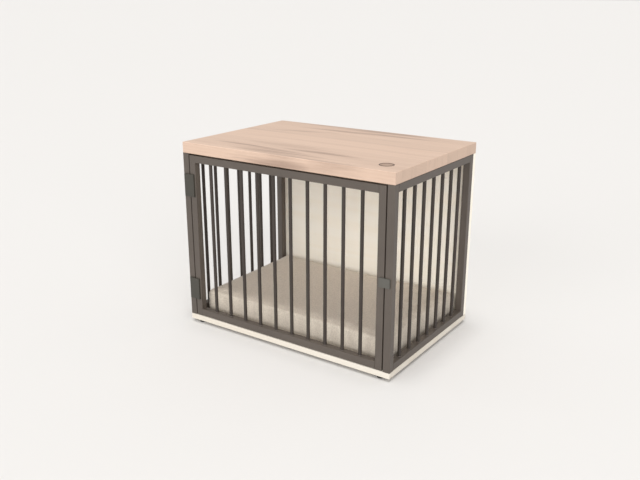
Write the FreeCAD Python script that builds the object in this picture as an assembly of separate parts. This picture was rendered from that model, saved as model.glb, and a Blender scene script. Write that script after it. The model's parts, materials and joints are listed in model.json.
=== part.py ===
import FreeCAD, Part
import math
import os

# A dog crate that doubles as an end table: wood top, welded side frames of square tube and
# round bars, a barred door on strap hinges with a slide latch, a board behind, a base on four
# feet, and a floor cushion.  Millimetres.  The origin is the centre of the overall footprint
# on the floor; +X is to the right of a person who faces the door, +Y runs from the door to
# the back, +Z is up.

V = FreeCAD.Vector
os.makedirs("parts", exist_ok=True)

# ---------------------------------------------------------------- driving dimensions

# carcass
table_width = 840.0           # across the front
frame_depth = 550.0           # metal frame, front face to back face
total_height = 670.0          # floor to the top face
top_thickness = 38.0
base_thickness = 20.0
panel_thickness = 18.0        # board behind the frame
board_ease = 1.0              # bevel of the pale boards' edges
top_ease = 1.5                # bevel of the top board's edges

# square tube and round bar
tube_side = 25.0
tube_wall = 1.5
tube_corner = 2.0             # outer corner radius of the square tube
cap_thickness = 1.5           # of the plates in the door stiles' open ends
bar_diameter = 12.0
bar_wall = 1.0
bore_flats = 8                # a bar's hidden bore is eight-sided
side_bar_count = 7
door_bar_count = 10

# door
door_side_gap = 4.0
door_top_gap = 5.0
door_bottom_gap = 2.0

# strap hinge: post leaf on the post, strap over it, pin near the post's outer corner
hinge_height = 80.0
hinge_inset = 5.0             # from the table's left side to the barrel
strap_cover = 20.0            # how far the strap reaches over the door's stile
hinge_top_offset = 72.0       # top board's underside to the upper hinge
hinge_bottom_offset = 65.0    # base board to the lower hinge
leaf_thickness = 2.8
leaf_gap = 0.4                # between the folded leaves
pin_diameter = 3.0
pin_clearance = 0.05          # radial, in the knuckle that turns
post_knuckle_height = 22.0
knuckle_gap = 0.4             # between neighbouring knuckles
barrel_clearance = 0.4        # round a knuckle, where the other leaf is cut back
pad_width = 18.0              # thick end of the strap, on the door's stile
strap_bevel = 0.5

# slide latch
latch_width = 38.0
latch_height = 30.0
latch_drop = 304.0            # top board's underside to the latch's middle
latch_overhang = 23.0         # how far the plate reaches past the stile at rest
latch_travel = 6.0
slide_clearance = 0.3         # plate to frame, and round the neck and the tongue
plate_bevel = 0.6
neck_inset = 1.5              # from the plate's left edge to the neck
neck_wall = 0.7               # of the bolt, left beside the neck
neck_height = 10.0
bolt_depth = 12.0             # front to back
bolt_height = 13.0
bolt_room = 1.0               # inside the stile, to the left of the bolt
tongue_relief = 2.0           # front of the bolt to the front of its slimmer tongue
tongue_height = 11.0
tongue_bevel = 1.0
tongue_stand = 1.5            # from the tongue's tip at rest to the post

# feet
foot_diameter = 25.0
foot_height = 10.0
foot_taper = 1.5              # radius lost from the base board to the floor
foot_side_inset = 40.0        # centre, from the table's side
foot_end_inset = 17.0         # centre, from the front and back faces

# badge let into the top
badge_diameter = 48.0
badge_thickness = 2.0
badge_clearance = 0.2
badge_right_inset = 74.0      # centre, from the right side
badge_front_inset = 78.0      # centre, from the frame's front

# screws that hold the two side frames to the top board and to the base board
screw_radius = 3.0
screw_head_radius = 5.7       # to the corners of the hexagon
screw_head_height = 4.0
screw_clearance = 0.3         # radial, in the pieces that a screw only passes
screw_bite = 25.0             # length in the wood of the top board
screw_hole_end = 2.0          # blind hole past the screw's tip
thread_reach = 6.0            # past the wall that a screw is threaded into

# glued dowels that stand the back panel between the base board and the top board
dowel_diameter = 8.0
dowel_length = 30.0           # half of it in the panel
dowel_inset = 110.0           # from the table's side

# floor cushion
cushion_side_clearance = 5.0  # to the side frames
cushion_front_clearance = 16.0  # behind the door
cushion_back_clearance = 3.0
cushion_edge_height = 83.0    # of the top edge above the base board
cushion_crown = 9.0           # further rise of the middle
cushion_corner = 24.0         # plan radius of the corners
cushion_roll = 14.0           # rounding of the top edge
cushion_hem = 8.0             # bevel of the bottom edge
cushion_draw = 5.0            # how far the long sides pull in between the corners
cushion_bulge = 4.0           # how far a side swells at half height
cushion_end_drop = 0.8        # share of the roll by which the end sections are lower
cushion_end_shares = (0.0, 0.1, 0.4, 1.0)  # of the corner, where its sections stand
cushion_middle_shares = (0.5,)             # of the half length

# drawing aids
overcut = 1.0                 # how far a cutter runs past the wall it cuts
tiny = 0.01                   # tolerance when an edge is picked by its place
quarter_sag = 1 - math.sqrt(0.5)  # quarter round: its middle from the corner, per radius

# ---------------------------------------------------------------- derived places

hardware_proud = 2 * leaf_thickness + leaf_gap
overall_depth = hardware_proud + frame_depth + panel_thickness

left = -table_width / 2
right = table_width / 2
front = -overall_depth / 2 + hardware_proud
frame_back = front + frame_depth
back = frame_back + panel_thickness

base_bottom = foot_height
base_top = base_bottom + base_thickness
top_underside = total_height - top_thickness
rail_top_low = top_underside - tube_side
rail_bottom_high = base_top + tube_side
half_tube = tube_side / 2

left_post_x = left + half_tube
right_post_x = right - half_tube
front_post_y = front + half_tube
rear_post_y = frame_back - half_tube

door_left = left + tube_side + door_side_gap
door_right = right - tube_side - door_side_gap
door_low = base_top + door_bottom_gap
door_high = top_underside - door_top_gap
hinge_stile_x = door_left + half_tube
latch_stile_x = door_right - half_tube

barrel_radius = leaf_thickness
pin_x = left + hinge_inset + barrel_radius
pin_y = front - leaf_thickness - leaf_gap
strap_end = door_left + strap_cover
pad_start = strap_end - pad_width
upper_hinge_z = top_underside - hinge_top_offset - hinge_height / 2
lower_hinge_z = base_top + hinge_bottom_offset + hinge_height / 2

latch_z = top_underside - latch_drop
latch_end = door_right + latch_overhang
latch_start = latch_end - latch_width
bolt_end = door_right - tube_wall - latch_travel - slide_clearance
neck_start = latch_start + neck_inset
neck_end = bolt_end - neck_wall
bolt_front = front + tube_wall + slide_clearance
bolt_rear = bolt_front + bolt_depth

badge_x = right - badge_right_inset
badge_y = front + badge_front_inset
foot_x = (left + foot_side_inset, right - foot_side_inset)
foot_y = (front + foot_end_inset, back - foot_end_inset)
hinge_centres = {"upper": upper_hinge_z, "lower": lower_hinge_z}
dowel_x = (left + dowel_inset, right - dowel_inset)
dowel_y = (frame_back + back) / 2
cushion_front = front + tube_side + cushion_front_clearance
cushion_rear = frame_back - cushion_back_clearance

# ---------------------------------------------------------------- helpers


def save(name, shape):
    """Write one node; a list of solids becomes one group."""
    if isinstance(shape, list):
        shape = Part.makeCompound(shape)
    shape.exportStep("parts/" + name + ".step")


def block(x_low, x_high, y_low, y_high, z_low, z_high):
    """A box between two corners."""
    size = V(x_high - x_low, y_high - y_low, z_high - z_low)
    return Part.makeBox(size.x, size.y, size.z, V(x_low, y_low, z_low))


def rod(start, end, radius):
    """A round bar between two points."""
    return Part.makeCylinder(radius, (end - start).Length, start, end - start)


def eased_board(y_low, y_high, z_low, z_high, ease):
    """A board as wide as the table, with a fine bevel along its twelve edges."""
    board = block(left, right, y_low, y_high, z_low, z_high)
    return board.makeChamfer(ease, board.Edges)


def rounded_square(side, radius):
    """A square outline with round corners, in the XY plane, centred on the origin."""
    half = side / 2
    inner = half - radius
    slant = radius * math.sqrt(0.5)
    edges = []
    for quarter in range(4):
        turn = FreeCAD.Rotation(V(0, 0, 1), 90 * quarter)
        straight = [V(half, -inner, 0), V(half, inner, 0)]
        corner = [V(half, inner, 0), V(inner + slant, inner + slant, 0), V(inner, half, 0)]
        edges.append(Part.LineSegment(*[turn.multVec(p) for p in straight]).toShape())
        edges.append(Part.Arc(*[turn.multVec(p) for p in corner]).toShape())
    return Part.Wire(edges)


def square_tube(start, end):
    """Square tube between the centres of its two ends, along one axis."""
    along = end - start
    outline = Part.Face(rounded_square(tube_side, tube_corner))
    bore_side = tube_side - 2 * tube_wall
    bore = Part.Face(Part.makePolygon([
        V(-bore_side / 2, -bore_side / 2, 0),
        V(bore_side / 2, -bore_side / 2, 0),
        V(bore_side / 2, bore_side / 2, 0),
        V(-bore_side / 2, bore_side / 2, 0),
        V(-bore_side / 2, -bore_side / 2, 0),
    ]))
    tube = outline.cut(bore).extrude(V(0, 0, along.Length))
    tube.Placement = FreeCAD.Placement(start, FreeCAD.Rotation(V(0, 0, 1), along))
    return tube


def upright_bar(x, y, z_low, z_high):
    """A bar of the frame: round tube, whose bore, closed at both ends, has eight flats."""
    bar_radius = bar_diameter / 2
    bar = rod(V(x, y, z_low), V(x, y, z_high), bar_radius)
    across = bar_radius - bar_wall
    corners = []
    for k in range(bore_flats + 1):
        angle = 2 * math.pi * (k + 0.5) / bore_flats
        corners.append(V(x + across * math.cos(angle), y + across * math.sin(angle), z_low))
    bore = Part.Face(Part.makePolygon(corners)).extrude(V(0, 0, z_high - z_low))
    return bar.cut(bore)


def spaced(low, high, count, width):
    """Centres of pieces of one width that leave equal gaps between low and high."""
    gap = (high - low - count * width) / (count + 1)
    return [low + gap * (k + 1) + width * (k + 0.5) for k in range(count)]


def gap_centre(low, high, count, width, index):
    """Middle of one of the gaps that spaced() leaves, counted from low."""
    gap = (high - low - count * width) / (count + 1)
    return low + gap * (index + 0.5) + width * index


def hexagon_screw(x, y, seat_z, length):
    """An upright screw, hexagon head down; seat_z is the height of the head's upper side."""
    corners = []
    for k in range(7):
        angle = math.radians(60 * k)
        across = V(math.cos(angle), math.sin(angle), 0) * screw_head_radius
        corners.append(V(x, y, seat_z) + across)
    head = Part.Face(Part.makePolygon(corners)).extrude(V(0, 0, -screw_head_height))
    shank = rod(V(x, y, seat_z), V(x, y, seat_z + length), screw_radius)
    return head.fuse(shank).removeSplitter()


# ---------------------------------------------------------------- screw places

# the screws stand between the bars: one gap in from the first, one gap in from the last
screw_gaps = (1, side_bar_count - 1)
side_screw_y = [
    gap_centre(front + tube_side, frame_back - tube_side, side_bar_count, bar_diameter, k)
    for k in screw_gaps
]
screw_xy = [(x, y) for x in (left_post_x, right_post_x) for y in side_screw_y]

# ---------------------------------------------------------------- boards


def table_top():
    """Solid wood board: a round seat for the badge, blind holes for screws and dowels."""
    board = eased_board(front, back, top_underside, total_height, top_ease)
    seat_low = V(badge_x, badge_y, total_height - badge_thickness)
    seat_high = V(badge_x, badge_y, total_height + overcut)
    board = board.cut(rod(seat_low, seat_high, badge_diameter / 2 + badge_clearance))
    for x, y in screw_xy:
        hole_end = V(x, y, top_underside + screw_bite + screw_hole_end)
        board = board.cut(rod(V(x, y, top_underside), hole_end, screw_radius))
    for x in dowel_x:
        board = board.cut(dowel(x, top_underside))
    return board


def top_badge():
    """Round disc let into the top, flush with it and bare."""
    bottom = V(badge_x, badge_y, total_height - badge_thickness)
    return rod(bottom, V(badge_x, badge_y, total_height), badge_diameter / 2)


def base_board():
    """Pale board under the frames, bored through for screws and blind for dowels."""
    board = eased_board(front, back, base_bottom, base_top, board_ease)
    for x, y in screw_xy:
        way = rod(V(x, y, base_bottom), V(x, y, base_top), screw_radius + screw_clearance)
        board = board.cut(way)
    for x in dowel_x:
        board = board.cut(dowel(x, base_top))
    return board


def back_panel():
    """Pale board that closes the back, standing on dowels and held down by dowels."""
    board = eased_board(frame_back, back, base_top, top_underside, board_ease)
    for x in dowel_x:
        board = board.cut(dowel(x, base_top))
        board = board.cut(dowel(x, top_underside))
    return board


def dowel(x, joint_z):
    """Glued dowel, half of it on either side of the joint between two boards."""
    half = dowel_length / 2
    return rod(V(x, dowel_y, joint_z - half), V(x, dowel_y, joint_z + half), dowel_diameter / 2)


# ---------------------------------------------------------------- side frames


def post(x, y):
    """Upright of a side frame, between the base board and the top board."""
    return square_tube(V(x, y, base_top), V(x, y, top_underside))


def right_front_post():
    """Front upright with the square hole that the latch's tongue enters."""
    wall = right - tube_side
    return post(right_post_x, front_post_y).cut(tongue_hole(wall, wall + tube_wall + overcut))


def top_rail(x):
    """Upper rail of a side frame; the top board's screws pass through both its walls."""
    rail_z = top_underside - half_tube
    rail = square_tube(V(x, front + tube_side, rail_z), V(x, frame_back - tube_side, rail_z))
    for y in side_screw_y:
        way = rod(V(x, y, rail_top_low), V(x, y, top_underside), screw_radius + screw_clearance)
        rail = rail.cut(way)
    return rail


def bottom_rail(x):
    """Lower rail of a side frame; the base board's screws are threaded into its lower wall."""
    rail_z = base_top + half_tube
    rail = square_tube(V(x, front + tube_side, rail_z), V(x, frame_back - tube_side, rail_z))
    for y in side_screw_y:
        hole = rod(V(x, y, base_top), V(x, y, base_top + tube_wall + overcut), screw_radius)
        rail = rail.cut(hole)
    return rail


def side_bars(x):
    """Bars of one side frame, front to back."""
    centres = spaced(front + tube_side, frame_back - tube_side, side_bar_count, bar_diameter)
    return [upright_bar(x, y, rail_bottom_high, rail_top_low) for y in centres]


# ---------------------------------------------------------------- door


def door_stile(x):
    """A stile of the door, as tall as the door."""
    return square_tube(V(x, front_post_y, door_low), V(x, front_post_y, door_high))


def door_latch_stile():
    """Right stile, with a slot for the latch's neck in front and a way for its tongue."""
    slot_start = neck_start - slide_clearance
    slot_end = neck_end + latch_travel + slide_clearance
    half = neck_height / 2 + slide_clearance
    wall_back = front + tube_wall + overcut
    slot = block(slot_start, slot_end, front, wall_back, latch_z - half, latch_z + half)
    way = tongue_hole(door_right - tube_wall - overcut, door_right)
    return door_stile(latch_stile_x).cut(slot).cut(way)


def stile_caps():
    """Thin plates welded into the open ends of the door's stiles, flush with them."""
    half_bore = half_tube - tube_wall
    y_low = front_post_y - half_bore
    y_high = front_post_y + half_bore
    caps = []
    for x in (hinge_stile_x, latch_stile_x):
        for z in (door_low, door_high - cap_thickness):
            caps.append(block(x - half_bore, x + half_bore, y_low, y_high, z, z + cap_thickness))
    return caps


def door_rail(z):
    """A rail of the door, butted between its stiles."""
    y = front_post_y
    return square_tube(V(door_left + tube_side, y, z), V(door_right - tube_side, y, z))


def door_bars():
    """Bars of the door, left to right."""
    centres = spaced(door_left + tube_side, door_right - tube_side, door_bar_count, bar_diameter)
    low = door_low + tube_side
    high = door_high - tube_side
    return [upright_bar(x, front_post_y, low, high) for x in centres]


# ---------------------------------------------------------------- hinges


def post_leaf(z):
    """Leaf welded to the post: a thin plate with a knuckle at each end, cut back between."""
    low = z - hinge_height / 2
    high = z + hinge_height / 2
    knuckle_top = low + post_knuckle_height
    knuckle_bottom = high - post_knuckle_height
    plate_end = left + tube_side - tube_corner / 2
    leaf = block(pin_x, plate_end, front - leaf_thickness, front, low, high)
    room = barrel_radius + barrel_clearance
    leaf = leaf.cut(block(pin_x, pin_x + room, front - leaf_thickness, front,
                          knuckle_top, knuckle_bottom))
    leaf = leaf.fuse(rod(V(pin_x, pin_y, low), V(pin_x, pin_y, knuckle_top), barrel_radius))
    leaf = leaf.fuse(rod(V(pin_x, pin_y, knuckle_bottom), V(pin_x, pin_y, high), barrel_radius))
    leaf = leaf.cut(rod(V(pin_x, pin_y, low), V(pin_x, pin_y, high), pin_diameter / 2))
    return leaf.removeSplitter()


def door_leaf(z):
    """Strap over the post leaf, with the middle knuckle and a thick end welded to the door."""
    low = z - hinge_height / 2
    high = z + hinge_height / 2
    knuckle_low = low + post_knuckle_height + knuckle_gap
    knuckle_high = high - post_knuckle_height - knuckle_gap
    proud = front - hardware_proud
    strap = block(pin_x, strap_end, proud, pin_y, low, high)
    room = barrel_radius + barrel_clearance
    for zone_low, zone_high in ((low, knuckle_low), (knuckle_high, high)):
        strap = strap.cut(block(pin_x, pin_x + room, proud, pin_y, zone_low, zone_high))
    pad = block(pad_start, strap_end, pin_y, front, low, high)
    strap = strap.fuse(pad).removeSplitter()
    free_edges = [
        e for e in strap.Edges
        if abs(e.CenterOfMass.y - proud) < tiny and e.CenterOfMass.x > pin_x + room + tiny
    ]
    strap = strap.makeChamfer(strap_bevel, free_edges)
    knuckle = rod(V(pin_x, pin_y, knuckle_low), V(pin_x, pin_y, knuckle_high), barrel_radius)
    strap = strap.fuse(knuckle)
    bore = pin_diameter / 2 + pin_clearance
    strap = strap.cut(rod(V(pin_x, pin_y, low), V(pin_x, pin_y, high), bore))
    return strap.removeSplitter()


def hinge_pin(z):
    """Plain pin through the three knuckles; driven out, it lets the door come off."""
    half = hinge_height / 2
    return rod(V(pin_x, pin_y, z - half), V(pin_x, pin_y, z + half), pin_diameter / 2)


# ---------------------------------------------------------------- latch


def tongue_hole(x_low, x_high):
    """Square way for the latch's tongue, with its clearance."""
    half = tongue_height / 2 + slide_clearance
    near = bolt_front + tongue_relief - slide_clearance
    far = bolt_rear + slide_clearance
    return block(x_low, x_high, near, far, latch_z - half, latch_z + half)


def latch_plate():
    """Thumb plate in front of the stile and the post; its neck passes through the bolt."""
    half = latch_height / 2
    proud = front - hardware_proud
    plate_back = front - slide_clearance
    plate = block(latch_start, latch_end, proud, plate_back, latch_z - half, latch_z + half)
    front_edges = [e for e in plate.Edges if abs(e.CenterOfMass.y - proud) < tiny]
    plate = plate.makeChamfer(plate_bevel, front_edges)
    return plate.fuse(latch_neck(plate_back)).removeSplitter()


def latch_neck(start_y):
    """Neck from the plate to the back of the bolt, where it is riveted over."""
    half = neck_height / 2
    return block(neck_start, neck_end, start_y, bolt_rear, latch_z - half, latch_z + half)


def latch_bolt():
    """Block inside the stile, pierced for the neck, with a slimmer tongue to the right."""
    start = door_right - tube_side + tube_wall + bolt_room
    tip = door_right + door_side_gap - tongue_stand
    half = bolt_height / 2
    bolt = block(start, bolt_end, bolt_front, bolt_rear, latch_z - half, latch_z + half)
    half = tongue_height / 2
    tongue_front = bolt_front + tongue_relief
    tongue = block(bolt_end, tip, tongue_front, bolt_rear, latch_z - half, latch_z + half)
    tip_edges = [e for e in tongue.Edges if abs(e.CenterOfMass.x - tip) < tiny]
    bolt = bolt.fuse(tongue.makeChamfer(tongue_bevel, tip_edges))
    return bolt.cut(latch_neck(bolt_front)).removeSplitter()


# ---------------------------------------------------------------- feet and cushion


def foot(x, y):
    """Round glide, a little narrower at the floor, glued under the base board."""
    top_radius = foot_diameter / 2
    return Part.makeCone(top_radius - foot_taper, top_radius, foot_height, V(x, y, 0))


def cushion_section(x, reach, lift):
    """Outline across the cushion at one X: flat bottom, swelling sides, crowned top."""
    low = base_top
    edge = base_top + lift
    crown = edge + cushion_crown * (lift / cushion_edge_height)
    side_low = low + cushion_hem
    side_high = edge - cushion_roll
    side_mid = (side_low + side_high) / 2
    inner = reach - cushion_bulge
    roll = cushion_roll * quarter_sag

    def at(y, z):
        return V(x, (cushion_front + cushion_rear) / 2 + y, z)

    def arc(*points):
        return Part.Arc(*[at(y, z) for y, z in points])

    edges = [
        Part.LineSegment(at(-inner + cushion_hem, low), at(inner - cushion_hem, low)),
        Part.LineSegment(at(inner - cushion_hem, low), at(inner, side_low)),
        arc((inner, side_low), (reach, side_mid), (inner, side_high)),
        arc((inner, side_high), (inner - roll, edge - roll), (inner - cushion_roll, edge)),
        arc((inner - cushion_roll, edge), (0, crown), (-inner + cushion_roll, edge)),
        arc((-inner + cushion_roll, edge), (-inner + roll, edge - roll), (-inner, side_high)),
        arc((-inner, side_high), (-reach, side_mid), (-inner, side_low)),
        Part.LineSegment(at(-inner, side_low), at(-inner + cushion_hem, low)),
    ]
    return Part.Wire([e.toShape() for e in edges])


def quarter_loss(radius, inset):
    """How much a quarter round has taken off at a distance from where it ends."""
    left_over = max(radius - inset, 0)
    return radius - math.sqrt(radius ** 2 - left_over ** 2)


def cushion():
    """Floor mattress: sections across it, close together where its ends round off."""
    half_length = table_width / 2 - tube_side - cushion_side_clearance
    half_width = (cushion_rear - cushion_front) / 2
    places = [half_length - cushion_corner * share for share in cushion_end_shares]
    places += [half_length * share for share in cushion_middle_shares]
    wires = []
    for x in [-place for place in places] + [0.0] + places[::-1]:
        inset = half_length - abs(x)
        draw = cushion_draw * (1 - (x / half_length) ** 2)
        reach = half_width - quarter_loss(cushion_corner, inset) - draw
        lift = cushion_edge_height - cushion_end_drop * quarter_loss(cushion_roll, inset)
        wires.append(cushion_section(x, reach, lift))
    return Part.makeLoft(wires, True, True)


# ---------------------------------------------------------------- write the nodes

save("table_top", table_top())
save("top_badge", top_badge())
save("base_board", base_board())
save("back_panel", back_panel())

save("left_front_post", post(left_post_x, front_post_y))
save("right_front_post", right_front_post())
for side, x in (("left", left_post_x), ("right", right_post_x)):
    save(side + "_rear_post", post(x, rear_post_y))
    save(side + "_top_rail", top_rail(x))
    save(side + "_bottom_rail", bottom_rail(x))
    for number, bar in enumerate(side_bars(x), 1):
        save(side + "_side_bar_" + str(number), bar)

save("door_hinge_stile", door_stile(hinge_stile_x))
save("door_latch_stile", door_latch_stile())
save("door_stile_caps", stile_caps())
save("door_top_rail", door_rail(door_high - half_tube))
save("door_bottom_rail", door_rail(door_low + half_tube))
for number, bar in enumerate(door_bars(), 1):
    save("door_bar_%02d" % number, bar)

for place, z in hinge_centres.items():
    save(place + "_hinge_post_leaf", post_leaf(z))
    save(place + "_hinge_door_leaf", door_leaf(z))
save("hinge_pins", [hinge_pin(z) for z in hinge_centres.values()])

save("latch_plate", latch_plate())
save("latch_bolt", latch_bolt())

save("feet", [foot(x, y) for x in foot_x for y in foot_y])
save("cushion", cushion())

base_length = base_thickness + tube_wall + thread_reach
top_length = tube_side + screw_bite
save("base_screws", [hexagon_screw(x, y, base_bottom, base_length) for x, y in screw_xy])
save("top_screws", [hexagon_screw(x, y, rail_top_low, top_length) for x, y in screw_xy])
save("panel_dowels", [dowel(x, z) for x in dowel_x for z in (base_top, top_underside)])

print("overall", table_width, overall_depth, total_height)
print("hinge axis x, y", pin_x, pin_y)
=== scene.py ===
# %% [markdown]
# # Looks for a dog crate that doubles as an end table
#
# The metal frame, the door, the boards, the hinges and the latch come from the CAD model, in
# metres, already in place.  This lesson gives them their finishes, sews and stuffs the floor
# cushion, and adds what is too small for the CAD: weld collars and beads, the feet's moulded
# shape and the badge's rim.  Each step starts with a few words on the real piece and on the way
# chosen here.

# %% Load the CAD frame
import bpy
import json
import math
import numpy as np
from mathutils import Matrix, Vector


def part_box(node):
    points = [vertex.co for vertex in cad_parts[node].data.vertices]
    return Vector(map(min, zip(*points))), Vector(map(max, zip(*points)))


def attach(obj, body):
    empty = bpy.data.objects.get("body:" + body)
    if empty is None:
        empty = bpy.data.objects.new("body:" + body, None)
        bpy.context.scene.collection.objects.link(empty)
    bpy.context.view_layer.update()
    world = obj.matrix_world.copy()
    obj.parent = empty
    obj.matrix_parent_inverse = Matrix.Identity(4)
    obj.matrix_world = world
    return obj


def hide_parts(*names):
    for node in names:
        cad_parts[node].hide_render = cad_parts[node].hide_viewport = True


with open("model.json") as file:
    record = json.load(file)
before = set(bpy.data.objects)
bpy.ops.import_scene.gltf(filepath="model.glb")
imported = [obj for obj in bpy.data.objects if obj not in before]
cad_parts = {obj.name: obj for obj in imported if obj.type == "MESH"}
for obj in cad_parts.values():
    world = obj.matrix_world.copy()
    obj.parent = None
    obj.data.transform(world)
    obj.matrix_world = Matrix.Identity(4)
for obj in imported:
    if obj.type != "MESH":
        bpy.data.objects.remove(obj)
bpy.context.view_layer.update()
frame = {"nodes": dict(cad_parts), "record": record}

# %% [markdown]
# Every finish below is a Principled surface fed by a few pattern nodes.  Small helpers keep the
# recipes readable.  The first four start a material, fill a socket, add a node with its
# settings, and do arithmetic between sockets.


# %% Helpers for nodes
def new_finish(name):
    """A new material; returns it with its node tree and its Principled surface."""
    material = bpy.data.materials.new(name)
    material.use_nodes = True
    tree = material.node_tree
    return material, tree, tree.nodes["Principled BSDF"]


def feed(tree, socket, value):
    """Give an input socket a plain value, or a link if the value is another node's socket."""
    if isinstance(value, bpy.types.NodeSocket):
        tree.links.new(value, socket)
    else:
        socket.default_value = value


def add_node(tree, kind, **settings):
    """One shader node; settings are its input sockets by name or its own properties."""
    made = tree.nodes.new("ShaderNode" + kind)
    for key, value in settings.items():
        socket = key.replace("_", " ")
        if socket in made.inputs and not hasattr(made, key):
            feed(tree, made.inputs[socket], value)
        else:
            setattr(made, key, value)
    return made


def calc(tree, operation, *values):
    """A Math node over sockets or numbers; returns its result socket."""
    made = add_node(tree, "Math", operation=operation)
    for socket, value in zip(made.inputs, values):
        feed(tree, socket, value)
    return made.outputs[0]


print("node helpers ready")

# %% [markdown]
# Two sums come back in every recipe: a pattern that is stretched and shifted, and a few patterns
# added up by weight.  A ramp turns a soft pattern into one with plain areas and a soft edge.


# %% Helpers for sums and ramps
def linear(tree, value, slope, start):
    """start + slope * value."""
    return calc(tree, "ADD", calc(tree, "MULTIPLY", value, slope), start)


def weighted(tree, *pairs):
    """The sum of some sockets, each times its weight."""
    terms = [calc(tree, "MULTIPLY", value, weight) for value, weight in pairs]
    total = terms[0]
    for term in terms[1:]:
        total = calc(tree, "ADD", total, term)
    return total


def ramp(tree, value, low, high):
    """0 below low, 1 above high, smooth between."""
    made = add_node(tree, "MapRange", interpolation_type="SMOOTHSTEP")
    feed(tree, made.inputs["Value"], value)
    feed(tree, made.inputs["From Min"], low)
    feed(tree, made.inputs["From Max"], high)
    return made.outputs[0]


print("sums and ramps ready")

# %% [markdown]
# All patterns read Object coordinates.  They are metres here, because each CAD piece has its
# place in its mesh and its object at the origin.  Noise with another scale along each axis makes
# the long fibres of wood as well as the even pebble of a paint.


# %% Helpers for patterns and colours
def noise(tree, scale, detail=2.0, distortion=0.0):
    """Soft noise, about 0.5 in the middle; scale says how fine it is along X, Y and Z."""
    where = add_node(tree, "TexCoord").outputs["Object"]
    stretched = add_node(tree, "Mapping", Vector=where, Scale=scale).outputs[0]
    made = add_node(tree, "TexNoise", Vector=stretched, Scale=1.0, Detail=detail,
                    Distortion=distortion)
    return made.outputs["Fac"]


def blend_colour(tree, share, first, second, way="MIX"):
    """A colour between first and second by a share from 0 to 1; returns the colour socket."""
    made = add_node(tree, "Mix", data_type="RGBA", blend_type=way)
    # a Mix node has its share first, and its two colours seventh and eighth
    for number, value in ((0, share), (6, first), (7, second)):
        feed(tree, made.inputs[number], value)
    return made.outputs[2]


def relief(tree, surface, height, depth, strength):
    """Bump on a surface from a height socket; depth is in metres."""
    bump = add_node(tree, "Bump", Height=height, Distance=depth, Strength=strength)
    tree.links.new(bump.outputs[0], surface.inputs["Normal"])


print("patterns and colours ready")

# %% [markdown]
# The top is a thick board glued up from staves of a pale, slightly pink wood, with the grain
# along the table and a few browner streaks of heartwood.  A picture of wood would slide off the
# end faces, so the wood is built in three dimensions instead: each stave gets growth rings
# around a pith line of its own.  On the top the rings come out as long grain lines, and on the
# board's ends as arcs, just as they do on real wood.

# %% Growth rings
pith_wander = 0.05    # metres that a pith line wanders sideways along the board
pith_scatter = 0.09   # metres by which the pith lines differ in depth
ring_drift = 4.0      # rings that come and go along the board
late_wood_edge = 2.2  # the higher, the narrower the dark late wood of each ring


def growth_rings(tree, in_stave, height, chances, stave, pith_depth, ring_pitch):
    """Rings around a stave's own pith line: 0 in the early wood, 1 in the late wood."""
    wander = calc(tree, "SUBTRACT", noise(tree, (1.4, 7.0, 7.0), detail=1.0), 0.5)
    pith_y = calc(tree, "MULTIPLY", chances[0], stave)
    off_y = calc(tree, "ADD", calc(tree, "SUBTRACT", in_stave, pith_y),
                 calc(tree, "MULTIPLY", wander, pith_wander))
    pith_z = calc(tree, "SUBTRACT", pith_depth,
                  calc(tree, "MULTIPLY", chances[1], pith_scatter))
    off_z = calc(tree, "SUBTRACT", height, pith_z)
    squares = calc(tree, "ADD", calc(tree, "MULTIPLY", off_y, off_y),
                   calc(tree, "MULTIPLY", off_z, off_z))
    distance = calc(tree, "SQRT", squares)
    uneven = calc(tree, "MULTIPLY", noise(tree, (0.8, 30.0, 30.0)), ring_drift)
    turns = calc(tree, "ADD", calc(tree, "DIVIDE", distance, ring_pitch), uneven)
    return calc(tree, "POWER", calc(tree, "PINGPONG", turns, 1.0), late_wood_edge)


print("growth rings wander by", pith_wander, "m")

# %% [markdown]
# Heartwood runs through the board in long soft streaks.  Each one is an ellipse drawn out along
# the grain.  Left at that it would look like a shadow, so fine noise along the grain frays it
# into strands, and slow noise lets it wobble.

# %% Heartwood
faint_streaks = 0.22    # strength of the streakiness all over the board
side_wobble = 0.03      # metres by which a streak wobbles sideways
fray = 1.15             # how far the strands reach in from a streak's edge
streak_edge = (0.25, 1.7)  # where a streak starts to fade and where it is gone; 1 is the ellipse


def heartwood(tree, place, streaks):
    """Long streaks, frayed into strands: 0 in the pale wood, 1 in the darkest heart."""
    feather = ramp(tree, noise(tree, (3.2, 105.0, 42.0), detail=4.0, distortion=0.4),
                   0.30, 0.70)
    wobble = calc(tree, "SUBTRACT", noise(tree, (2.2, 9.0, 6.0), detail=1.0), 0.5)
    share = calc(tree, "MULTIPLY",
                 ramp(tree, noise(tree, (1.7, 21.0, 8.0), distortion=0.55), 0.50, 0.75),
                 faint_streaks)
    for x, y, half_length, half_width, slant, strength in streaks:
        from_x = calc(tree, "SUBTRACT", place["X"], x)
        along = calc(tree, "DIVIDE", from_x, half_length)
        beside = calc(tree, "SUBTRACT", calc(tree, "SUBTRACT", place["Y"], y),
                      calc(tree, "MULTIPLY", from_x, slant))
        beside = calc(tree, "ADD", beside, calc(tree, "MULTIPLY", wobble, side_wobble))
        beside = calc(tree, "DIVIDE", beside, half_width)
        away = calc(tree, "ADD", calc(tree, "MULTIPLY", along, along),
                    calc(tree, "MULTIPLY", beside, beside))
        away = calc(tree, "ADD", away, calc(tree, "MULTIPLY", feather, fray))
        core = calc(tree, "SUBTRACT", 1.0, ramp(tree, away, *streak_edge))
        share = calc(tree, "MAXIMUM", share, calc(tree, "MULTIPLY", core, strength))
    return share


print("streaks wobble by", side_wobble, "m")

# %% [markdown]
# Now the two go together.  Each stave also gets a tone of its own, the fibres and pores are drawn
# out along the grain, and between two staves runs the glue line, which is less than a millimetre
# wide and a little darker.

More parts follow.
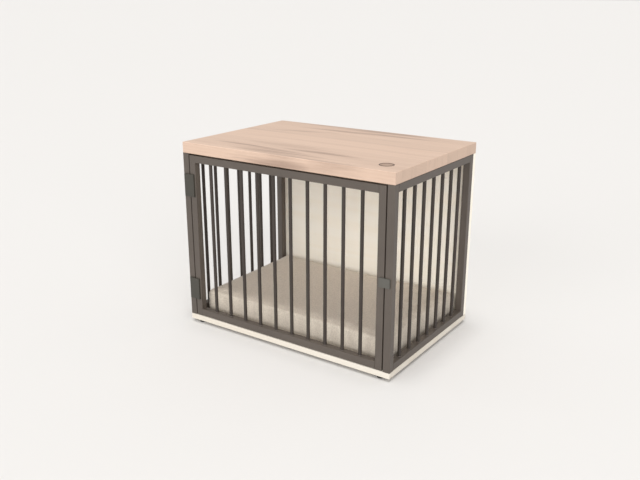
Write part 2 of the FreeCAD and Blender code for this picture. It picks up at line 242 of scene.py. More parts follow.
# %% Glued wood
stave_change = 0.10  # how much lighter the lightest stave is than the darkest
fibre_change = 0.16  # the same between two fibres
pore_shade = 0.12    # how much darker a pore is
glue_shade = 0.28    # how much darker a glue line is
glue_half = 0.0004   # half of a glue line's width, in metres


def glued_wood(name, pale, late, heart, stave, first_joint, pith_depth, ring_pitch, contrast,
               streaks):
    """Glued solid wood, grain along X; stave is a stave's width and first_joint a joint's Y."""
    material, tree, surface = new_finish(name)
    where = add_node(tree, "TexCoord").outputs["Object"]
    place = add_node(tree, "SeparateXYZ", Vector=where).outputs
    across = calc(tree, "DIVIDE", calc(tree, "SUBTRACT", place["Y"], first_joint), stave)
    number = calc(tree, "FLOOR", across)
    in_stave = calc(tree, "MULTIPLY", calc(tree, "SUBTRACT", across, number), stave)
    chance = add_node(tree, "TexWhiteNoise", noise_dimensions="1D", W=number)
    chances = add_node(tree, "SeparateColor", Color=chance.outputs["Color"]).outputs

    ring = growth_rings(tree, in_stave, place["Z"], chances, stave, pith_depth, ring_pitch)
    colour = blend_colour(tree, calc(tree, "MULTIPLY", ring, contrast), pale, late)
    colour = blend_colour(tree, heartwood(tree, place, streaks), colour, heart)

    fibre = noise(tree, (14.0, 620.0, 620.0), detail=3.0, distortion=0.3)
    pores = ramp(tree, noise(tree, (38.0, 1100.0, 1100.0), detail=1.0), 0.62, 0.74)
    glue_line = calc(tree, "LESS_THAN", calc(tree, "PINGPONG", across, 0.5), glue_half / stave)
    tone = linear(tree, chances[2], stave_change, 0.93)
    tone = calc(tree, "MULTIPLY", tone, linear(tree, fibre, fibre_change, 0.92))
    tone = calc(tree, "MULTIPLY", tone, linear(tree, pores, -pore_shade, 1.0))
    tone = calc(tree, "MULTIPLY", tone, linear(tree, glue_line, -glue_shade, 1.0))
    shade = add_node(tree, "CombineColor", Red=tone, Green=tone, Blue=tone).outputs[0]
    colour = blend_colour(tree, 1.0, colour, shade, "MULTIPLY")
    tree.links.new(colour, surface.inputs["Base Color"])

    tree.links.new(linear(tree, fibre, 0.16, 0.40), surface.inputs["Roughness"])
    surface.inputs["Specular IOR Level"].default_value = 0.4
    height = calc(tree, "SUBTRACT", calc(tree, "MULTIPLY", fibre, 0.5), pores)
    relief(tree, surface, height, depth=0.00012, strength=0.55)
    print(name, "made with", len(tree.nodes), "nodes")
    return material


print("a glue line is", 2 * glue_half, "m wide")

# %% [markdown]
# The staves are 75 mm wide, and their joints run where they do on the real board.  The pith lines
# lie in or a little under the board, so that the rings curve on its ends.  The streaks are placed
# one by one, since they are what one sees first on this top.

# %% Wood of the top
top_wood = glued_wood(
    "oiled_wood_top",
    pale=(0.600, 0.440, 0.342, 1), late=(0.510, 0.345, 0.250, 1), heart=(0.345, 0.240, 0.185, 1),
    stave=0.075, first_joint=-0.2385, pith_depth=0.650, ring_pitch=0.0042, contrast=0.28,
    # middle X and Y, half length, half width, slant, strength
    streaks=[
        (-0.18, -0.199, 0.19, 0.015, -0.02, 0.98),
        (-0.09, -0.214, 0.16, 0.024, -0.03, 0.78),
        (0.08, -0.168, 0.15, 0.016, 0.02, 0.85),
        (-0.02, -0.243, 0.24, 0.034, -0.10, 0.72),
        (-0.06, -0.288, 0.20, 0.022, 0.0, 1.0),
        (0.15, -0.268, 0.17, 0.016, -0.04, 0.50),
        # a broad, faint darker patch over the middle of the top
        (-0.08, -0.135, 0.19, 0.034, 0.03, 0.42),
        (0.03, 0.216, 0.30, 0.018, 0.06, 0.75),
        (-0.20, 0.132, 0.13, 0.014, 0.22, 0.60),
        (-0.02, 0.266, 0.32, 0.026, 0.0, 0.85),
    ],
)

# %% [markdown]
# The board behind and the base are paler: a cream-coloured wood laminate whose grain hardly
# shows.  The same kinds of noise do for both, but with no staves and no rings, and with the
# grain along the table.  The board behind gets a lighter copy of the laminate, which is painted
# light for the light that falls on it inside the crate.


# %% Pale laminate for the back and the base
def pale_laminate(name, light, dark):
    """Cream laminate with a faint straight grain along X."""
    material, tree, surface = new_finish(name)
    broad = noise(tree, (1.1, 26.0, 26.0), detail=3.0, distortion=0.35)
    fine = noise(tree, (9.0, 520.0, 520.0))
    grain = weighted(tree, (ramp(tree, broad, 0.35, 0.75), 0.6), (fine, 0.4))
    tree.links.new(blend_colour(tree, grain, light, dark), surface.inputs["Base Color"])
    tree.links.new(linear(tree, fine, 0.12, 0.46), surface.inputs["Roughness"])
    relief(tree, surface, fine, depth=0.00006, strength=0.5)
    print(name, "made with", len(tree.nodes), "nodes")
    return material


pale_board = pale_laminate("cream_laminate", (0.72, 0.675, 0.60, 1), (0.65, 0.585, 0.49, 1))
# painted light: the same laminate made lighter for the board behind, for the light on it
panel_board_painted_light = pale_laminate("panel_laminate_painted_light", (0.96, 0.92, 0.83, 1), (0.94, 0.87, 0.74, 1))

# %% [markdown]
# All the metal is powder coated in a warm dark grey.  Powder coat is not quite smooth: it sets
# with a fine, soft pebble, and its gloss changes a little from place to place.  The bars get a
# darker copy of the coat, which is painted shade, and the hinges a darker, greener copy, which is
# painted shade as well; the latch is a little greener.


# %% Powder coats
def powder_coat(name, tint, lighter, shine=0.5):
    """Satin powder coat with a fine pebble and slightly uneven gloss."""
    material, tree, surface = new_finish(name)
    cloud = noise(tree, (9.0, 9.0, 9.0), detail=3.0)
    grit = noise(tree, (1500.0, 1500.0, 1500.0), detail=1.0)
    pebble = noise(tree, (620.0, 620.0, 620.0))
    share = weighted(tree, (ramp(tree, cloud, 0.3, 0.7), 0.55), (grit, 0.45))
    tree.links.new(blend_colour(tree, share, tint, lighter), surface.inputs["Base Color"])
    tree.links.new(linear(tree, cloud, 0.14, 0.38), surface.inputs["Roughness"])
    surface.inputs["Specular IOR Level"].default_value = shine
    relief(tree, surface, pebble, depth=0.00010, strength=0.5)
    print(name, "made with", len(tree.nodes), "nodes")
    return material


frame_coat = powder_coat("frame_powder_coat",
                         (0.076, 0.061, 0.050, 1), (0.096, 0.078, 0.064, 1))
# painted shade: the bars' coat is a darker copy of the frame's, for the shade that falls on them
bar_coat_painted_shade = powder_coat("bar_powder_coat_painted_shade",
                       (0.034, 0.026, 0.021, 1), (0.046, 0.036, 0.030, 1), shine=0.35)
# painted shade: the hinges' coat is a darker, greener copy of the frame's, for shade
hardware_coat = powder_coat("hinge_coat_painted_shade",
                            (0.038, 0.035, 0.027, 1), (0.048, 0.044, 0.034, 1))
latch_coat = powder_coat("latch_coat",
                         (0.074, 0.071, 0.061, 1), (0.093, 0.089, 0.077, 1))

# %% [markdown]
# A few small finishes are left: zinc-plated steel for screws and pins, dull rubber for the feet,
# and for the badge a dark bronze rim around a paler brushed middle.  The brush marks are the same
# noise as on the others, but drawn out along X.


# %% Steel, rubber and bronze
def small_finish(name, first, second, metal, rough, scale, depth):
    """A plain finish whose colour and gloss are broken up by fine noise."""
    material, tree, surface = new_finish(name)
    speck = noise(tree, scale)
    tree.links.new(blend_colour(tree, speck, first, second), surface.inputs["Base Color"])
    surface.inputs["Metallic"].default_value = metal
    tree.links.new(linear(tree, speck, 0.2, rough), surface.inputs["Roughness"])
    relief(tree, surface, speck, depth, strength=0.4)
    print(name, "made with", len(tree.nodes), "nodes")
    return material


zinc = small_finish(
    "zinc_plated_steel", (0.46, 0.47, 0.48, 1), (0.62, 0.62, 0.60, 1),
    metal=1.0, rough=0.28, scale=(300.0, 300.0, 300.0), depth=0.00004)
rubber = small_finish(
    "foot_rubber", (0.022, 0.020, 0.019, 1), (0.036, 0.033, 0.031, 1),
    metal=0.0, rough=0.62, scale=(700.0, 700.0, 700.0), depth=0.00010)
bronze = small_finish(
    "badge_rim_bronze", (0.060, 0.034, 0.022, 1), (0.090, 0.054, 0.038, 1),
    metal=0.3, rough=0.42, scale=(500.0, 500.0, 500.0), depth=0.00005)
badge_middle = small_finish(
    "badge_middle_brushed", (0.34, 0.235, 0.175, 1), (0.46, 0.33, 0.255, 1),
    metal=0.25, rough=0.46, scale=(60.0, 2400.0, 2400.0), depth=0.00004)

# %% [markdown]
# The cushion's cover is a plain taupe weave of two slightly different yarns.  Bands along X, Y
# and Z, multiplied together, give a weave on every side of the cushion without unwrapping it:
# on the top the X and Y bands cross, and on the sides the Z bands take the place of one of them.
# A little noise added to the coordinates keeps the yarns from running dead straight.

# %% Woven cover
yarn_slack = 0.0011  # metres by which a yarn strays from its line


def woven_cover(name, light, dark, yarn):
    """Plain weave; yarn is the length of one wave of the weave, in metres."""
    material, tree, surface = new_finish(name)
    where = add_node(tree, "TexCoord").outputs["Object"]
    slack = add_node(tree, "TexNoise", Vector=where, Scale=60.0, Detail=1.0).outputs["Color"]
    moved = add_node(tree, "MixRGB", blend_type="ADD", Fac=yarn_slack, Color1=where,
                     Color2=slack)
    place = add_node(tree, "SeparateXYZ", Vector=moved.outputs[0]).outputs
    turn = 2 * math.pi / yarn
    x_wave, y_wave, z_wave = (
        calc(tree, "SINE", calc(tree, "MULTIPLY", place[axis], turn)) for axis in "XYZ")
    crossed = calc(tree, "MULTIPLY", x_wave, y_wave)
    crossed = calc(tree, "ADD", crossed, calc(tree, "MULTIPLY", y_wave, z_wave))
    crossed = calc(tree, "ADD", crossed, calc(tree, "MULTIPLY", z_wave, x_wave))
    weave = ramp(tree, crossed, -1.2, 1.2)
    melange = noise(tree, (210.0, 210.0, 210.0), detail=3.0)
    worn = noise(tree, (5.0, 5.0, 5.0))
    share = weighted(tree, (weave, 0.35), (ramp(tree, melange, 0.3, 0.7), 0.45), (worn, 0.2))
    tree.links.new(blend_colour(tree, share, dark, light), surface.inputs["Base Color"])
    surface.inputs["Roughness"].default_value = 0.92
    surface.inputs["Specular IOR Level"].default_value = 0.2
    surface.inputs["Sheen Weight"].default_value = 0.25
    surface.inputs["Sheen Roughness"].default_value = 0.5
    height = calc(tree, "ADD", weave, calc(tree, "MULTIPLY", melange, 0.6))
    relief(tree, surface, height, depth=0.00035, strength=0.6)
    print(name, "made with", len(tree.nodes), "nodes")
    return material


cover_fabric = woven_cover("taupe_woven_cover", (0.80, 0.710, 0.60, 1), (0.535, 0.472, 0.39, 1),
                           yarn=0.0016)

# %% [markdown]
# Each CAD piece says in the record which slot it takes its finish from, so one table is enough
# to paint the whole frame.  Three kinds of piece then get their own shade of the same finish:
# the board behind a lighter one, which is painted light, the round bars a darker one, which is
# painted shade, and the latch its own greener one.

# %% Paint the CAD pieces
finish_of_slot = {
    "wood_top": top_wood,
    "pale_board": pale_board,
    "frame_coat": frame_coat,
    # the hinges' coat is darker for painted shade
    "hardware_coat": hardware_coat,
    "screw_steel": zinc,
    "foot_rubber": rubber,
    "cushion_fabric": cover_fabric,
    "badge_metal": bronze,
}
for part in frame["record"]["subparts"]:
    piece = frame["nodes"][part["node"]]
    piece.data.materials.clear()
    piece.data.materials.append(finish_of_slot[part["material_slot"]])
# painted light: the board behind takes the lighter copy of the laminate
frame["nodes"]["back_panel"].data.materials[0] = panel_board_painted_light
# the round bars take the darker coat, which is painted shade
for name, piece in frame["nodes"].items():
    if "_bar_" in name:
        piece.data.materials[0] = bar_coat_painted_shade
for name in ("latch_plate", "latch_bolt"):
    frame["nodes"][name].data.materials[0] = latch_coat
print("painted", len(frame["nodes"]), "CAD pieces")

# %% [markdown]
# New pieces are modelled the way one would by hand: add a primitive, go into edit mode, pick
# faces or edges, and move, inset, extrude or bevel them.  In a script the picking is done by
# place and normal.

# %% Helpers for modelling
touching = 1e-5  # metres; points that are closer than this are in one place
level = 0.99     # a face is level if this much of its normal, or more, is along Z


def nothing_selected():
    """Object mode, with no object selected."""
    if bpy.context.object and bpy.context.object.mode != "OBJECT":
        bpy.ops.object.mode_set(mode="OBJECT")
    bpy.ops.object.select_all(action="DESELECT")


def only(piece):
    """Select one object and make it active."""
    nothing_selected()
    piece.select_set(True)
    bpy.context.view_layer.objects.active = piece


def pick(piece, kind, wanted):
    """In edit mode, select the faces, edges or vertices for which wanted() is true."""
    bpy.ops.object.mode_set(mode="EDIT")
    bpy.ops.mesh.select_mode(type={"faces": "FACE", "edges": "EDGE", "verts": "VERT"}[kind])
    bpy.ops.mesh.select_all(action="DESELECT")
    bpy.ops.object.mode_set(mode="OBJECT")
    mesh = piece.data
    place = piece.matrix_world
    if kind == "faces":
        for face in mesh.polygons:
            face.select = wanted(place @ face.center, face.normal)
    elif kind == "edges":
        for edge in mesh.edges:
            edge.select = wanted(*(place @ mesh.vertices[v].co for v in edge.vertices))
    else:
        for point in mesh.vertices:
            point.select = wanted(place @ point.co)
    bpy.ops.object.mode_set(mode="EDIT")


print("modelling helpers ready")

# %% [markdown]
# Every finished piece is left in the same state: its object at the origin with its place in its
# mesh, smooth where its faces meet at a low angle, with its finish and slot, and riding on the
# body that it moves with.


# %% Helper that finishes a piece
def settle(piece, material, body, soft_angle=35):
    """Place in the mesh, smooth shading, finish, slot and the body that the piece rides on."""
    only(piece)
    bpy.ops.object.transform_apply(location=True, rotation=True, scale=True)
    bpy.ops.object.shade_smooth_by_angle(angle=math.radians(soft_angle))
    piece.data.materials.clear()
    piece.data.materials.append(material)
    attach(piece, body)
    print(piece.name, "has", len(piece.data.polygons), "faces and rides on", body)


print("finishing helper ready")

# %% [markdown]
# A round badge is let into the top near its front right corner: a bare disc with a raised dark
# rim and a paler middle.  The rim and the step to the middle are insets of the disc's upper face,
# each moved up or down after it is made.

# %% Badge
low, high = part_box("top_badge")
badge_centre = (low + high) / 2
badge_radius = (high.x - low.x) / 2
badge_depth = high.z - low.z
badge_sides = 96
rim_steps = [  # metres inward, then metres up
    (0.0005, 0.0004),   # outer slope of the rim
    (0.0024, 0.0),      # the rim's flat
    (0.0005, -0.0007),  # inner slope, down to the groove
    (0.0030, 0.0),      # the groove
    (0.0004, 0.0002),   # up to the middle
]

nothing_selected()
bpy.ops.mesh.primitive_cylinder_add(vertices=badge_sides, radius=badge_radius, depth=badge_depth,
                                    location=badge_centre)
badge = bpy.context.object
badge.name = "badge_disc"
for inward, upward in rim_steps:
    pick(badge, "faces",
         lambda c, n: n.z > level and (c - badge_centre).xy.length < touching)
    bpy.ops.mesh.inset(thickness=inward)
    bpy.ops.transform.translate(value=(0, 0, upward))
    bpy.ops.object.mode_set(mode="OBJECT")
settle(badge, bronze, "frame", soft_angle=25)
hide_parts("top_badge")

# %% [markdown]
# The middle is a second finish on the same piece.  It goes on the level faces inside the rim, and
# the slopes stay dark.

# %% Badge: the paler middle
rim_width = 0.0038
nearly_level = 0.9
badge.data.materials.append(badge_middle)
pale_faces = 0
for face in badge.data.polygons:
    inside = (face.center - badge_centre).xy.length < badge_radius - rim_width
    if face.normal.z > nearly_level and inside:
        face.material_index = 1
        pale_faces += 1
print("badge radius", round(badge_radius, 4), "m, with", pale_faces, "faces in the paler finish")

# %% [markdown]
# The crate stands on four small moulded feet.  What repeats is modelled once, at the origin, and
# then copied to its places and joined into one piece.


# %% Helpers for repeated pieces
def copies(piece, places):
    """Copies of a piece that was modelled at the origin, one at each place; the model goes."""
    made = []
    for place in places:
        only(piece)
        bpy.ops.object.duplicate(linked=False)
        bpy.ops.transform.translate(value=place)
        made.append(bpy.context.object)
    only(piece)
    bpy.ops.object.delete()
    return made


def joined(pieces, name):
    """Join several objects into one, under a new name."""
    nothing_selected()
    for piece in pieces:
        piece.select_set(True)
    bpy.context.view_layer.objects.active = pieces[0]
    bpy.ops.object.join()
    bpy.context.object.name = name
    return bpy.context.object


print("helpers for repeats ready")

# %% [markdown]
# Each foot is a short rubber glide, a little narrower at the floor, with a rounded tread and a
# hollow underneath.  The four copies stand where the CAD's plain feet do.

# %% Feet
low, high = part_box("feet")
foot_radius = 0.0125  # as in the CAD
foot_height = high.z - low.z
foot_sides = 48
tread_share = 0.88    # the tread's radius as a share of the foot's
tread_round = 0.0016
hollow_steps = [      # metres inward, then metres up
    (0.0042, 0.0),     # the ring that stands on the floor
    (0.0006, 0.0040),  # the hollow's wall
    (0.0010, 0.0),     # the hollow's ceiling
]
foot_places = [(x, y, 0) for x in (low.x + foot_radius, high.x - foot_radius)
               for y in (low.y + foot_radius, high.y - foot_radius)]


def rubber_foot():
    """One glide at the origin: tapered, rounded at the tread, hollow underneath."""
    nothing_selected()
    bpy.ops.mesh.primitive_cylinder_add(vertices=foot_sides, radius=foot_radius,
                                        depth=foot_height, location=(0, 0, foot_height / 2))
    foot = bpy.context.object
    pick(foot, "verts", lambda p: p.z < touching)
    bpy.ops.transform.resize(value=(tread_share, tread_share, 1), center_override=(0, 0, 0))
    pick(foot, "edges", lambda a, b: max(a.z, b.z) < touching)
    bpy.ops.mesh.bevel(offset=tread_round, segments=4)
    for inward, upward in hollow_steps:
        pick(foot, "faces", lambda c, n: n.z < -level and c.xy.length < touching)
        bpy.ops.mesh.inset(thickness=inward)
        bpy.ops.transform.translate(value=(0, 0, upward))
    bpy.ops.object.mode_set(mode="OBJECT")
    return foot


feet_piece = joined(copies(rubber_foot(), foot_places), "rubber_feet")
settle(feet_piece, rubber, "frame")
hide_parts("feet")

# %% [markdown]
# Every bar is welded to its rails all the way round.  Under the powder coat the weld shows as a
# small collar.  It starts as a flat cone, a little swollen halfway up.  Its two end faces are
# inset and taken out, and the rims that this leaves are bridged, which makes the cone a closed
# ring that bites a little into the bar.

# %% Weld collar
collar_height = 0.0017
collar_reach = 0.0016   # how far it spreads over the rail
collar_lip = 0.00005    # how far its upper edge stands off the bar
collar_bite = 0.0003    # how far its bore lies inside the bar
collar_swell = 1.03
collar_sides = 20


def weld_collar(bar_radius):
    """One collar that stands on a rail at the origin, as a closed ring around the bar."""
    wide = bar_radius + collar_reach
    narrow = bar_radius + collar_lip
    bore = bar_radius - collar_bite
    nothing_selected()
    bpy.ops.mesh.primitive_cone_add(vertices=collar_sides, depth=collar_height, radius1=wide,
                                    radius2=narrow, location=(0, 0, collar_height / 2))
    collar = bpy.context.object
    pick(collar, "edges", lambda a, b: abs(a.z - b.z) > collar_height / 2)
    bpy.ops.mesh.subdivide(number_cuts=1)
    pick(collar, "verts", lambda p: touching < p.z < collar_height - touching)
    bpy.ops.transform.resize(value=(collar_swell, collar_swell, 1), center_override=(0, 0, 0))
    for side, rim in ((-1, wide), (1, narrow)):
        pick(collar, "faces", lambda c, n: n.z * side > level)
        bpy.ops.mesh.inset(thickness=rim - bore)
        bpy.ops.mesh.delete(type="FACE")
    inside_bar = bar_radius - collar_bite / 2
    pick(collar, "edges", lambda a, b: max(a.xy.length, b.xy.length) < inside_bar)
    bpy.ops.mesh.bridge_edge_loops()
    bpy.ops.mesh.select_all(action="SELECT")
    bpy.ops.mesh.normals_make_consistent(inside=False)
    bpy.ops.object.mode_set(mode="OBJECT")
    return collar


print("a collar is", collar_height, "m high")

# %% [markdown]
# The collar at a bar's top is the same one, turned over.  Each group of bars gets one piece with
# all its collars, which rides on the body that the bars belong to.

# %% Weld collars at the bars' ends
weld_softness = 60  # degrees; welds are smooth even where they bend sharply


def turned_over(piece):
    """The same piece, turned half round about X at the origin."""
    only(piece)
    bpy.ops.transform.rotate(value=math.pi, orient_axis="X", center_override=(0, 0, 0))
    bpy.ops.object.transform_apply(location=True, rotation=True, scale=True)
    return piece


for group, body in (("left_side_bar_", "frame"), ("right_side_bar_", "frame"),
                    ("door_bar_", "door")):
    boxes = [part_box(name) for name in sorted(frame["nodes"]) if name.startswith(group)]
    bar_radius = (boxes[0][1].x - boxes[0][0].x) / 2
    middles = [((low.x + high.x) / 2, (low.y + high.y) / 2) for low, high in boxes]
    lower_ends = [(x, y, low.z) for (x, y), (low, high) in zip(middles, boxes)]
    upper_ends = [(x, y, high.z) for (x, y), (low, high) in zip(middles, boxes)]
    collars = copies(weld_collar(bar_radius), lower_ends)
    collars += copies(turned_over(weld_collar(bar_radius)), upper_ends)
    settle(joined(collars, group + "welds"), frame_coat, body, weld_softness)

# %% [markdown]
# Where a rail butts against a post the weld is ground flush outside and left as a rippled bead
# in the inner corner.  A bead is a disc that is extruded step by step, a little wider and a
# little narrower in turn.  Its middle lies in the corner, so a quarter of it shows.

# %% Weld bead
bead_radius = 0.0019
bead_sides = 10
bead_steps = 12
bead_start = 0.7    # the first disc's radius as a share of the bead's
bead_ripple = 1.28  # how much wider every second disc is
bead_end = 0.75     # the last disc's size as a share of the one before


def corner_bead(start, end):
    """Rippled bead between two points, along X or Y."""
    nothing_selected()
    along = (end - start) / bead_steps
    turned = (0, math.pi / 2, 0) if abs(along.x) > abs(along.y) else (math.pi / 2, 0, 0)
    bpy.ops.mesh.primitive_circle_add(vertices=bead_sides, radius=bead_radius * bead_start,
                                      fill_type="NGON", location=start, rotation=turned)
    bead = bpy.context.object
    bpy.ops.object.mode_set(mode="EDIT")
    bpy.ops.mesh.select_all(action="SELECT")
    for step in range(bead_steps):
        bpy.ops.mesh.extrude_region_move(TRANSFORM_OT_translate={"value": along})
        size = bead_ripple if step % 2 == 0 else 1 / bead_ripple
        if step == bead_steps - 1:
            size = bead_end
        bpy.ops.transform.resize(value=(size, size, size),
                                 center_override=start + along * (step + 1))
    bpy.ops.mesh.select_all(action="SELECT")
    bpy.ops.mesh.normals_make_consistent(inside=False)
    bpy.ops.object.mode_set(mode="OBJECT")
    return bead


print("a bead is extruded in", bead_steps, "steps")

# %% [markdown]
# The side frames' beads run along X and the door's along Y, so one of each is modelled and copied
# to all the corners.  They stop a little short of the tubes' outer faces.

# %% Weld beads in the corners
edge_margin = 0.003

side_corners = []
for side in ("left", "right"):
    low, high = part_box(side + "_bottom_rail")
    top_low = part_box(side + "_top_rail")[0].z
    for y in (low.y, high.y):
        side_corners += [((low.x + high.x) / 2, y, z) for z in (high.z, top_low)]
reach = Vector(((high.x - low.x) / 2 - edge_margin, 0, 0))
side_beads = copies(corner_bead(-reach, reach), side_corners)
settle(joined(side_beads, "side_frame_beads"), frame_coat, "frame", weld_softness)

low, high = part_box("door_bottom_rail")
top_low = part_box("door_top_rail")[0].z
door_corners = [(x, (low.y + high.y) / 2, z) for x in (low.x, high.x) for z in (high.z, top_low)]
reach = Vector((0, (high.y - low.y) / 2 - edge_margin, 0))
door_beads = copies(corner_bead(-reach, reach), door_corners)
settle(joined(door_beads, "door_beads"), frame_coat, "door", weld_softness)

# %% [markdown]
# The floor cushion is a foam mattress in a woven cover.  Its block is cut a little small, then
# blown up gently as cloth, so that the top crowns and the sides swell the way a stuffed cover
# does.

# %% Cushion block
low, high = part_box("cushion")
board_z = low.z
side_gap = 0.002      # room for the sides to swell
crown_room = 0.0095   # room for the top to swell
block_gap = 0.0004    # air between the block and the board
corner_round = 0.020
top_round = 0.015
bottom_round = 0.006
same_height = 1e-4    # points are at one height if they differ by less

cushion_low = Vector((low.x + side_gap, low.y + side_gap, board_z + block_gap))
cushion_high = Vector((high.x - side_gap, high.y - side_gap, high.z - crown_room))
cushion_size = cushion_high - cushion_low
cushion_centre = (cushion_low + cushion_high) / 2
nothing_selected()
bpy.ops.mesh.primitive_cube_add(size=1, location=cushion_centre, scale=cushion_size)
cushion = bpy.context.object
cushion.name = "floor_cushion"
bpy.ops.object.transform_apply(location=True, rotation=True, scale=True)
pick(cushion, "edges", lambda a, b: abs(a.z - b.z) > cushion_size.z / 2)
bpy.ops.mesh.bevel(offset=corner_round, segments=6)
pick(cushion, "edges", lambda a, b: min(a.z, b.z) > cushion_high.z - same_height)
bpy.ops.mesh.bevel(offset=top_round, segments=5)
pick(cushion, "edges", lambda a, b: max(a.z, b.z) < cushion_low.z + same_height)
bpy.ops.mesh.bevel(offset=bottom_round, segments=2)
bpy.ops.object.mode_set(mode="OBJECT")
print("cushion block", [round(c, 3) for c in cushion_size])

# %% [markdown]
# Cloth needs an even net, and the voxel remesh gives one.  The passes that follow work on all of
# its points at once, as arrays.

# %% Even net
voxel = 0.0065
only(cushion)
cushion.data.remesh_voxel_size = voxel
bpy.ops.object.voxel_remesh()


def read_points(piece, what):
    """The places ("co") or normals ("normal") of the piece's points, as an array."""
    values = np.empty(len(piece.data.vertices) * 3)
    piece.data.vertices.foreach_get(what, values)
    return values.reshape(-1, 3)


def set_points(piece, points):
    """Write an array of places back into the piece."""
    piece.data.vertices.foreach_set("co", points.ravel())
    piece.data.update()


print("cushion net:", len(cushion.data.vertices), "points")

# %% [markdown]
# A real cover pulls in between its corners, because its long sides are held only at the ends.
# That draw is put in before the cloth runs, as a gentle curve along each side.  Then the cloth is
# blown up for a short while, without gravity, since the foam carries it.

# %% Draw in the sides and blow up
long_draw = 0.006    # metres, at the middle of a long side
short_draw = 0.003   # metres, at the middle of a short side
cloth_pressure = 4.0
cloth_quality = 5
cloth_frames = 20

half = np.array(cushion_size) / 2
points = read_points(cushion, "co")
share = (points - np.array(cushion_centre)) / half
points[:, 1] -= long_draw * share[:, 1] * (1 - share[:, 0] ** 2)
points[:, 0] -= short_draw * share[:, 0] * (1 - share[:, 1] ** 2)
set_points(cushion, points)
start_points = read_points(cushion, "co")
start_normals = read_points(cushion, "normal")

cloth = cushion.modifiers.new("blow_up", "CLOTH")
cloth.settings.use_pressure = True
cloth.settings.uniform_pressure_force = cloth_pressure
cloth.settings.quality = cloth_quality
cloth.settings.effector_weights.gravity = 0.0
cloth.point_cache.frame_start = 1
cloth.point_cache.frame_end = cloth_frames
for step in range(1, cloth_frames + 1):
    bpy.context.scene.frame_set(step)
only(cushion)
bpy.ops.object.modifier_apply(modifier=cloth.name)
bpy.context.scene.frame_set(1)
moved = read_points(cushion, "co") - start_points
far = np.linalg.norm(moved, axis=1)
print("blown up by at most", round(float(far.max()) * 1000, 1), "mm, before the cap")

# %% [markdown]
# Now the cap: a point keeps the direction in which the cloth moved it, but never goes further
# than a few millimetres, so that the cushion stays clear of the bars and of the door.  Pressure
# also draws the corners in, and foam that fills its cover resists that, so most of every inward
# move is given back.  The underside is pressed flat again where it lies on the base board.

# %% Cap the swelling and rest it on the board
farthest = 0.008     # metres
inward_kept = 0.25   # share of an inward move that stays
board_gap = 0.0003   # metres of air under the cushion
still = 1e-9         # metres; keeps a point that hasn't moved out of the division

rest_z = board_z + board_gap
inward = np.minimum((moved * start_normals).sum(axis=1), 0)
moved -= (1 - inward_kept) * inward[:, None] * start_normals
far = np.linalg.norm(moved, axis=1)
moved *= (np.minimum(far, farthest) / np.maximum(far, still))[:, None]
points = start_points + moved
points[:, 2] = np.maximum(points[:, 2], rest_z)
set_points(cushion, points)
print("after the cap", round(float(np.linalg.norm(moved, axis=1).max()) * 1000, 1), "mm")

# %% [markdown]
# A few rounds of smoothing let the foam's edge roll over softly, and one subdivision gives the
# fabric enough points for its seams.

# %% Soften
soften = cushion.modifiers.new("soften", "SMOOTH")
soften.factor = 0.5
soften.iterations = 6
smooth = cushion.modifiers.new("smooth", "SUBSURF")
smooth.levels = 1
smooth.render_levels = 1
only(cushion)
for name in (soften.name, smooth.name):
    bpy.ops.object.modifier_apply(modifier=name)
print("cushion now has", len(cushion.data.vertices), "points")

# %% [markdown]
# The cover is sewn from a top panel, a band around the sides and a bottom panel.  The two seams
# show as narrow valleys around the cushion, with small puckers that fade away from the thread.
# They come after the remesh, which would wipe out anything narrower than a voxel.  The puckers
# drift and change in size along the seam, since no hand sews quite evenly.

# %% Sizes of the seams
top_seam = cushion_high.z - 0.016
bottom_seam = cushion_low.z + 0.011
seam_depth = 0.0008
seam_half = 0.0026
pucker_pitch = 0.034
pucker_height = 0.0003
pucker_fade = 0.012
drift = 2.6                          # radians by which the puckers drift
drift_along, drift_up = 23, 90       # radians of that per metre along the seam and upward
middling, change = 0.55, 0.45        # a pucker's usual size, and how much it changes
change_along, change_up = 17, 60     # radians of that per metre along the seam and upward
side_gain = 1.6                      # above 1, a seam keeps its depth where the side rounds over
print("seams at", round(top_seam, 4), "and", round(bottom_seam, 4), "m")

# %% [markdown]
# On the long sides a seam runs along X and on the short ones along Y, so a point's way along the
# seam is its X or its Y, whichever runs along the nearest side.

# %% Seams
points = read_points(cushion, "co")
normals = read_points(cushion, "normal")
from_end = half[0] - np.abs(points[:, 0] - cushion_centre.x)
from_side = half[1] - np.abs(points[:, 1] - cushion_centre.y)
around = np.where(from_end < from_side, points[:, 1], points[:, 0])
side_facing = np.clip(side_gain * np.linalg.norm(normals[:, :2], axis=1), 0, 1)
for height in (top_seam, bottom_seam):
    away = np.abs(points[:, 2] - height)
    valley = seam_depth * np.exp(-(away / seam_half) ** 2)
    strayed = drift * np.sin(around * drift_along + height * drift_up)
    ripple = np.sin(2 * math.pi * around / pucker_pitch + strayed)
    ripple *= middling + change * np.sin(around * change_along + height * change_up)
    pucker = pucker_height * ripple * np.exp(-(away / pucker_fade) ** 2)
    points -= normals * ((valley - pucker) * side_facing)[:, None]
points[:, 2] = np.maximum(points[:, 2], rest_z)
set_points(cushion, points)
print("cushion from", points.min(axis=0).round(4), "to", points.max(axis=0).round(4))
settle(cushion, cover_fabric, "frame", soft_angle=80)
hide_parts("cushion")

# %% [markdown]
# The crate stands on a plain pale floor, so wide that its edge lies at the horizon.

# %% Floor
nothing_selected()
bpy.ops.mesh.primitive_plane_add(size=400, location=(0, 0, 0))
floor = bpy.context.object
floor.name = "studio_floor"
floor_paint, tree, surface = new_finish("floor_paint")
surface.inputs["Base Color"].default_value = (0.69, 0.676, 0.66, 1)
surface.inputs["Roughness"].default_value = 0.7
floor.data.materials.append(floor_paint)
print(floor.name, "is", floor.dimensions.x, "m wide")

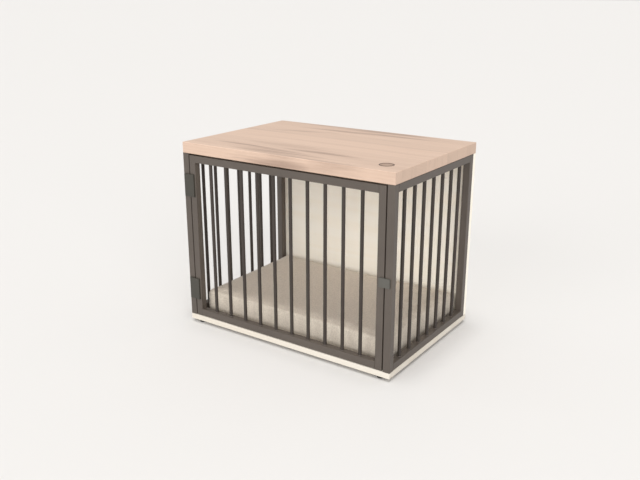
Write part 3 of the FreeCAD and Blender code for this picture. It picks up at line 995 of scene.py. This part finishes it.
# %% [markdown]
# Soft studio light.  The world is an even pale sky.  Three broad suns give it a direction: one
# from above, and two low ones from the front, left and right of the camera, which shine in under
# the top and light the cushion and the back panel.  Suns are used because they light the whole
# floor evenly, and their large angles keep every shadow soft.

# %% Sky
world = bpy.data.worlds.new("studio_sky")
bpy.context.scene.world = world
world.use_nodes = True
sky = world.node_tree.nodes["Background"]
sky.inputs["Color"].default_value = (1.0, 0.985, 0.965, 1)
sky.inputs["Strength"].default_value = 0.51
bpy.context.scene.view_settings.view_transform = "Standard"
print(world.name, "at", round(sky.inputs["Strength"].default_value, 2))

# %% [markdown]
# A sun's place doesn't matter, only where it shines from.  The angles say that in plain terms:
# how far to the right of the door's front, how high, and how wide the sun looks.

# %% Suns
sun_distance = 4  # metres, only so that the lamps stand clear of the crate


def broad_sun(name, to_the_right, upward, spread, strength):
    """A soft sun; its three angles are in degrees."""
    aside, lift = math.radians(to_the_right), math.radians(upward)
    towards = Vector((math.cos(lift) * math.sin(aside),
                      -math.cos(lift) * math.cos(aside), math.sin(lift)))
    bpy.ops.object.light_add(type="SUN", location=towards * sun_distance)
    sun = bpy.context.object
    sun.name = name
    sun.data.energy = strength
    sun.data.angle = math.radians(spread)
    sun.rotation_euler = towards.to_track_quat("Z", "Y").to_euler()
    print(name, "strength", strength)


broad_sun("front_right_sun", to_the_right=44, upward=18, spread=50, strength=1.72)
broad_sun("front_left_sun", to_the_right=-10, upward=18, spread=40, strength=0.92)
broad_sun("overhead_sun", to_the_right=0, upward=88, spread=20, strength=1.84)

# %% [markdown]
# The camera stands at the front right and looks down by eighteen degrees.  Its place, turn and
# lens come from the vanishing lines of the crate's edges in the photograph.

# %% Camera
camera_place = Vector((1.4348, -2.1292, 1.1504))
look_turn = math.radians(34.638)
look_down = math.radians(18.012)
look = Vector((-math.sin(look_turn) * math.cos(look_down),
               math.cos(look_turn) * math.cos(look_down),
               -math.sin(look_down)))
nothing_selected()
bpy.ops.object.camera_add(location=camera_place)
camera = bpy.context.object
camera.name = "photo_camera"
camera.rotation_euler = look.to_track_quat("-Z", "Y").to_euler()
camera.data.sensor_width = 36.0
camera.data.lens = 42.33
bpy.context.scene.camera = camera
print("camera at", camera_place)
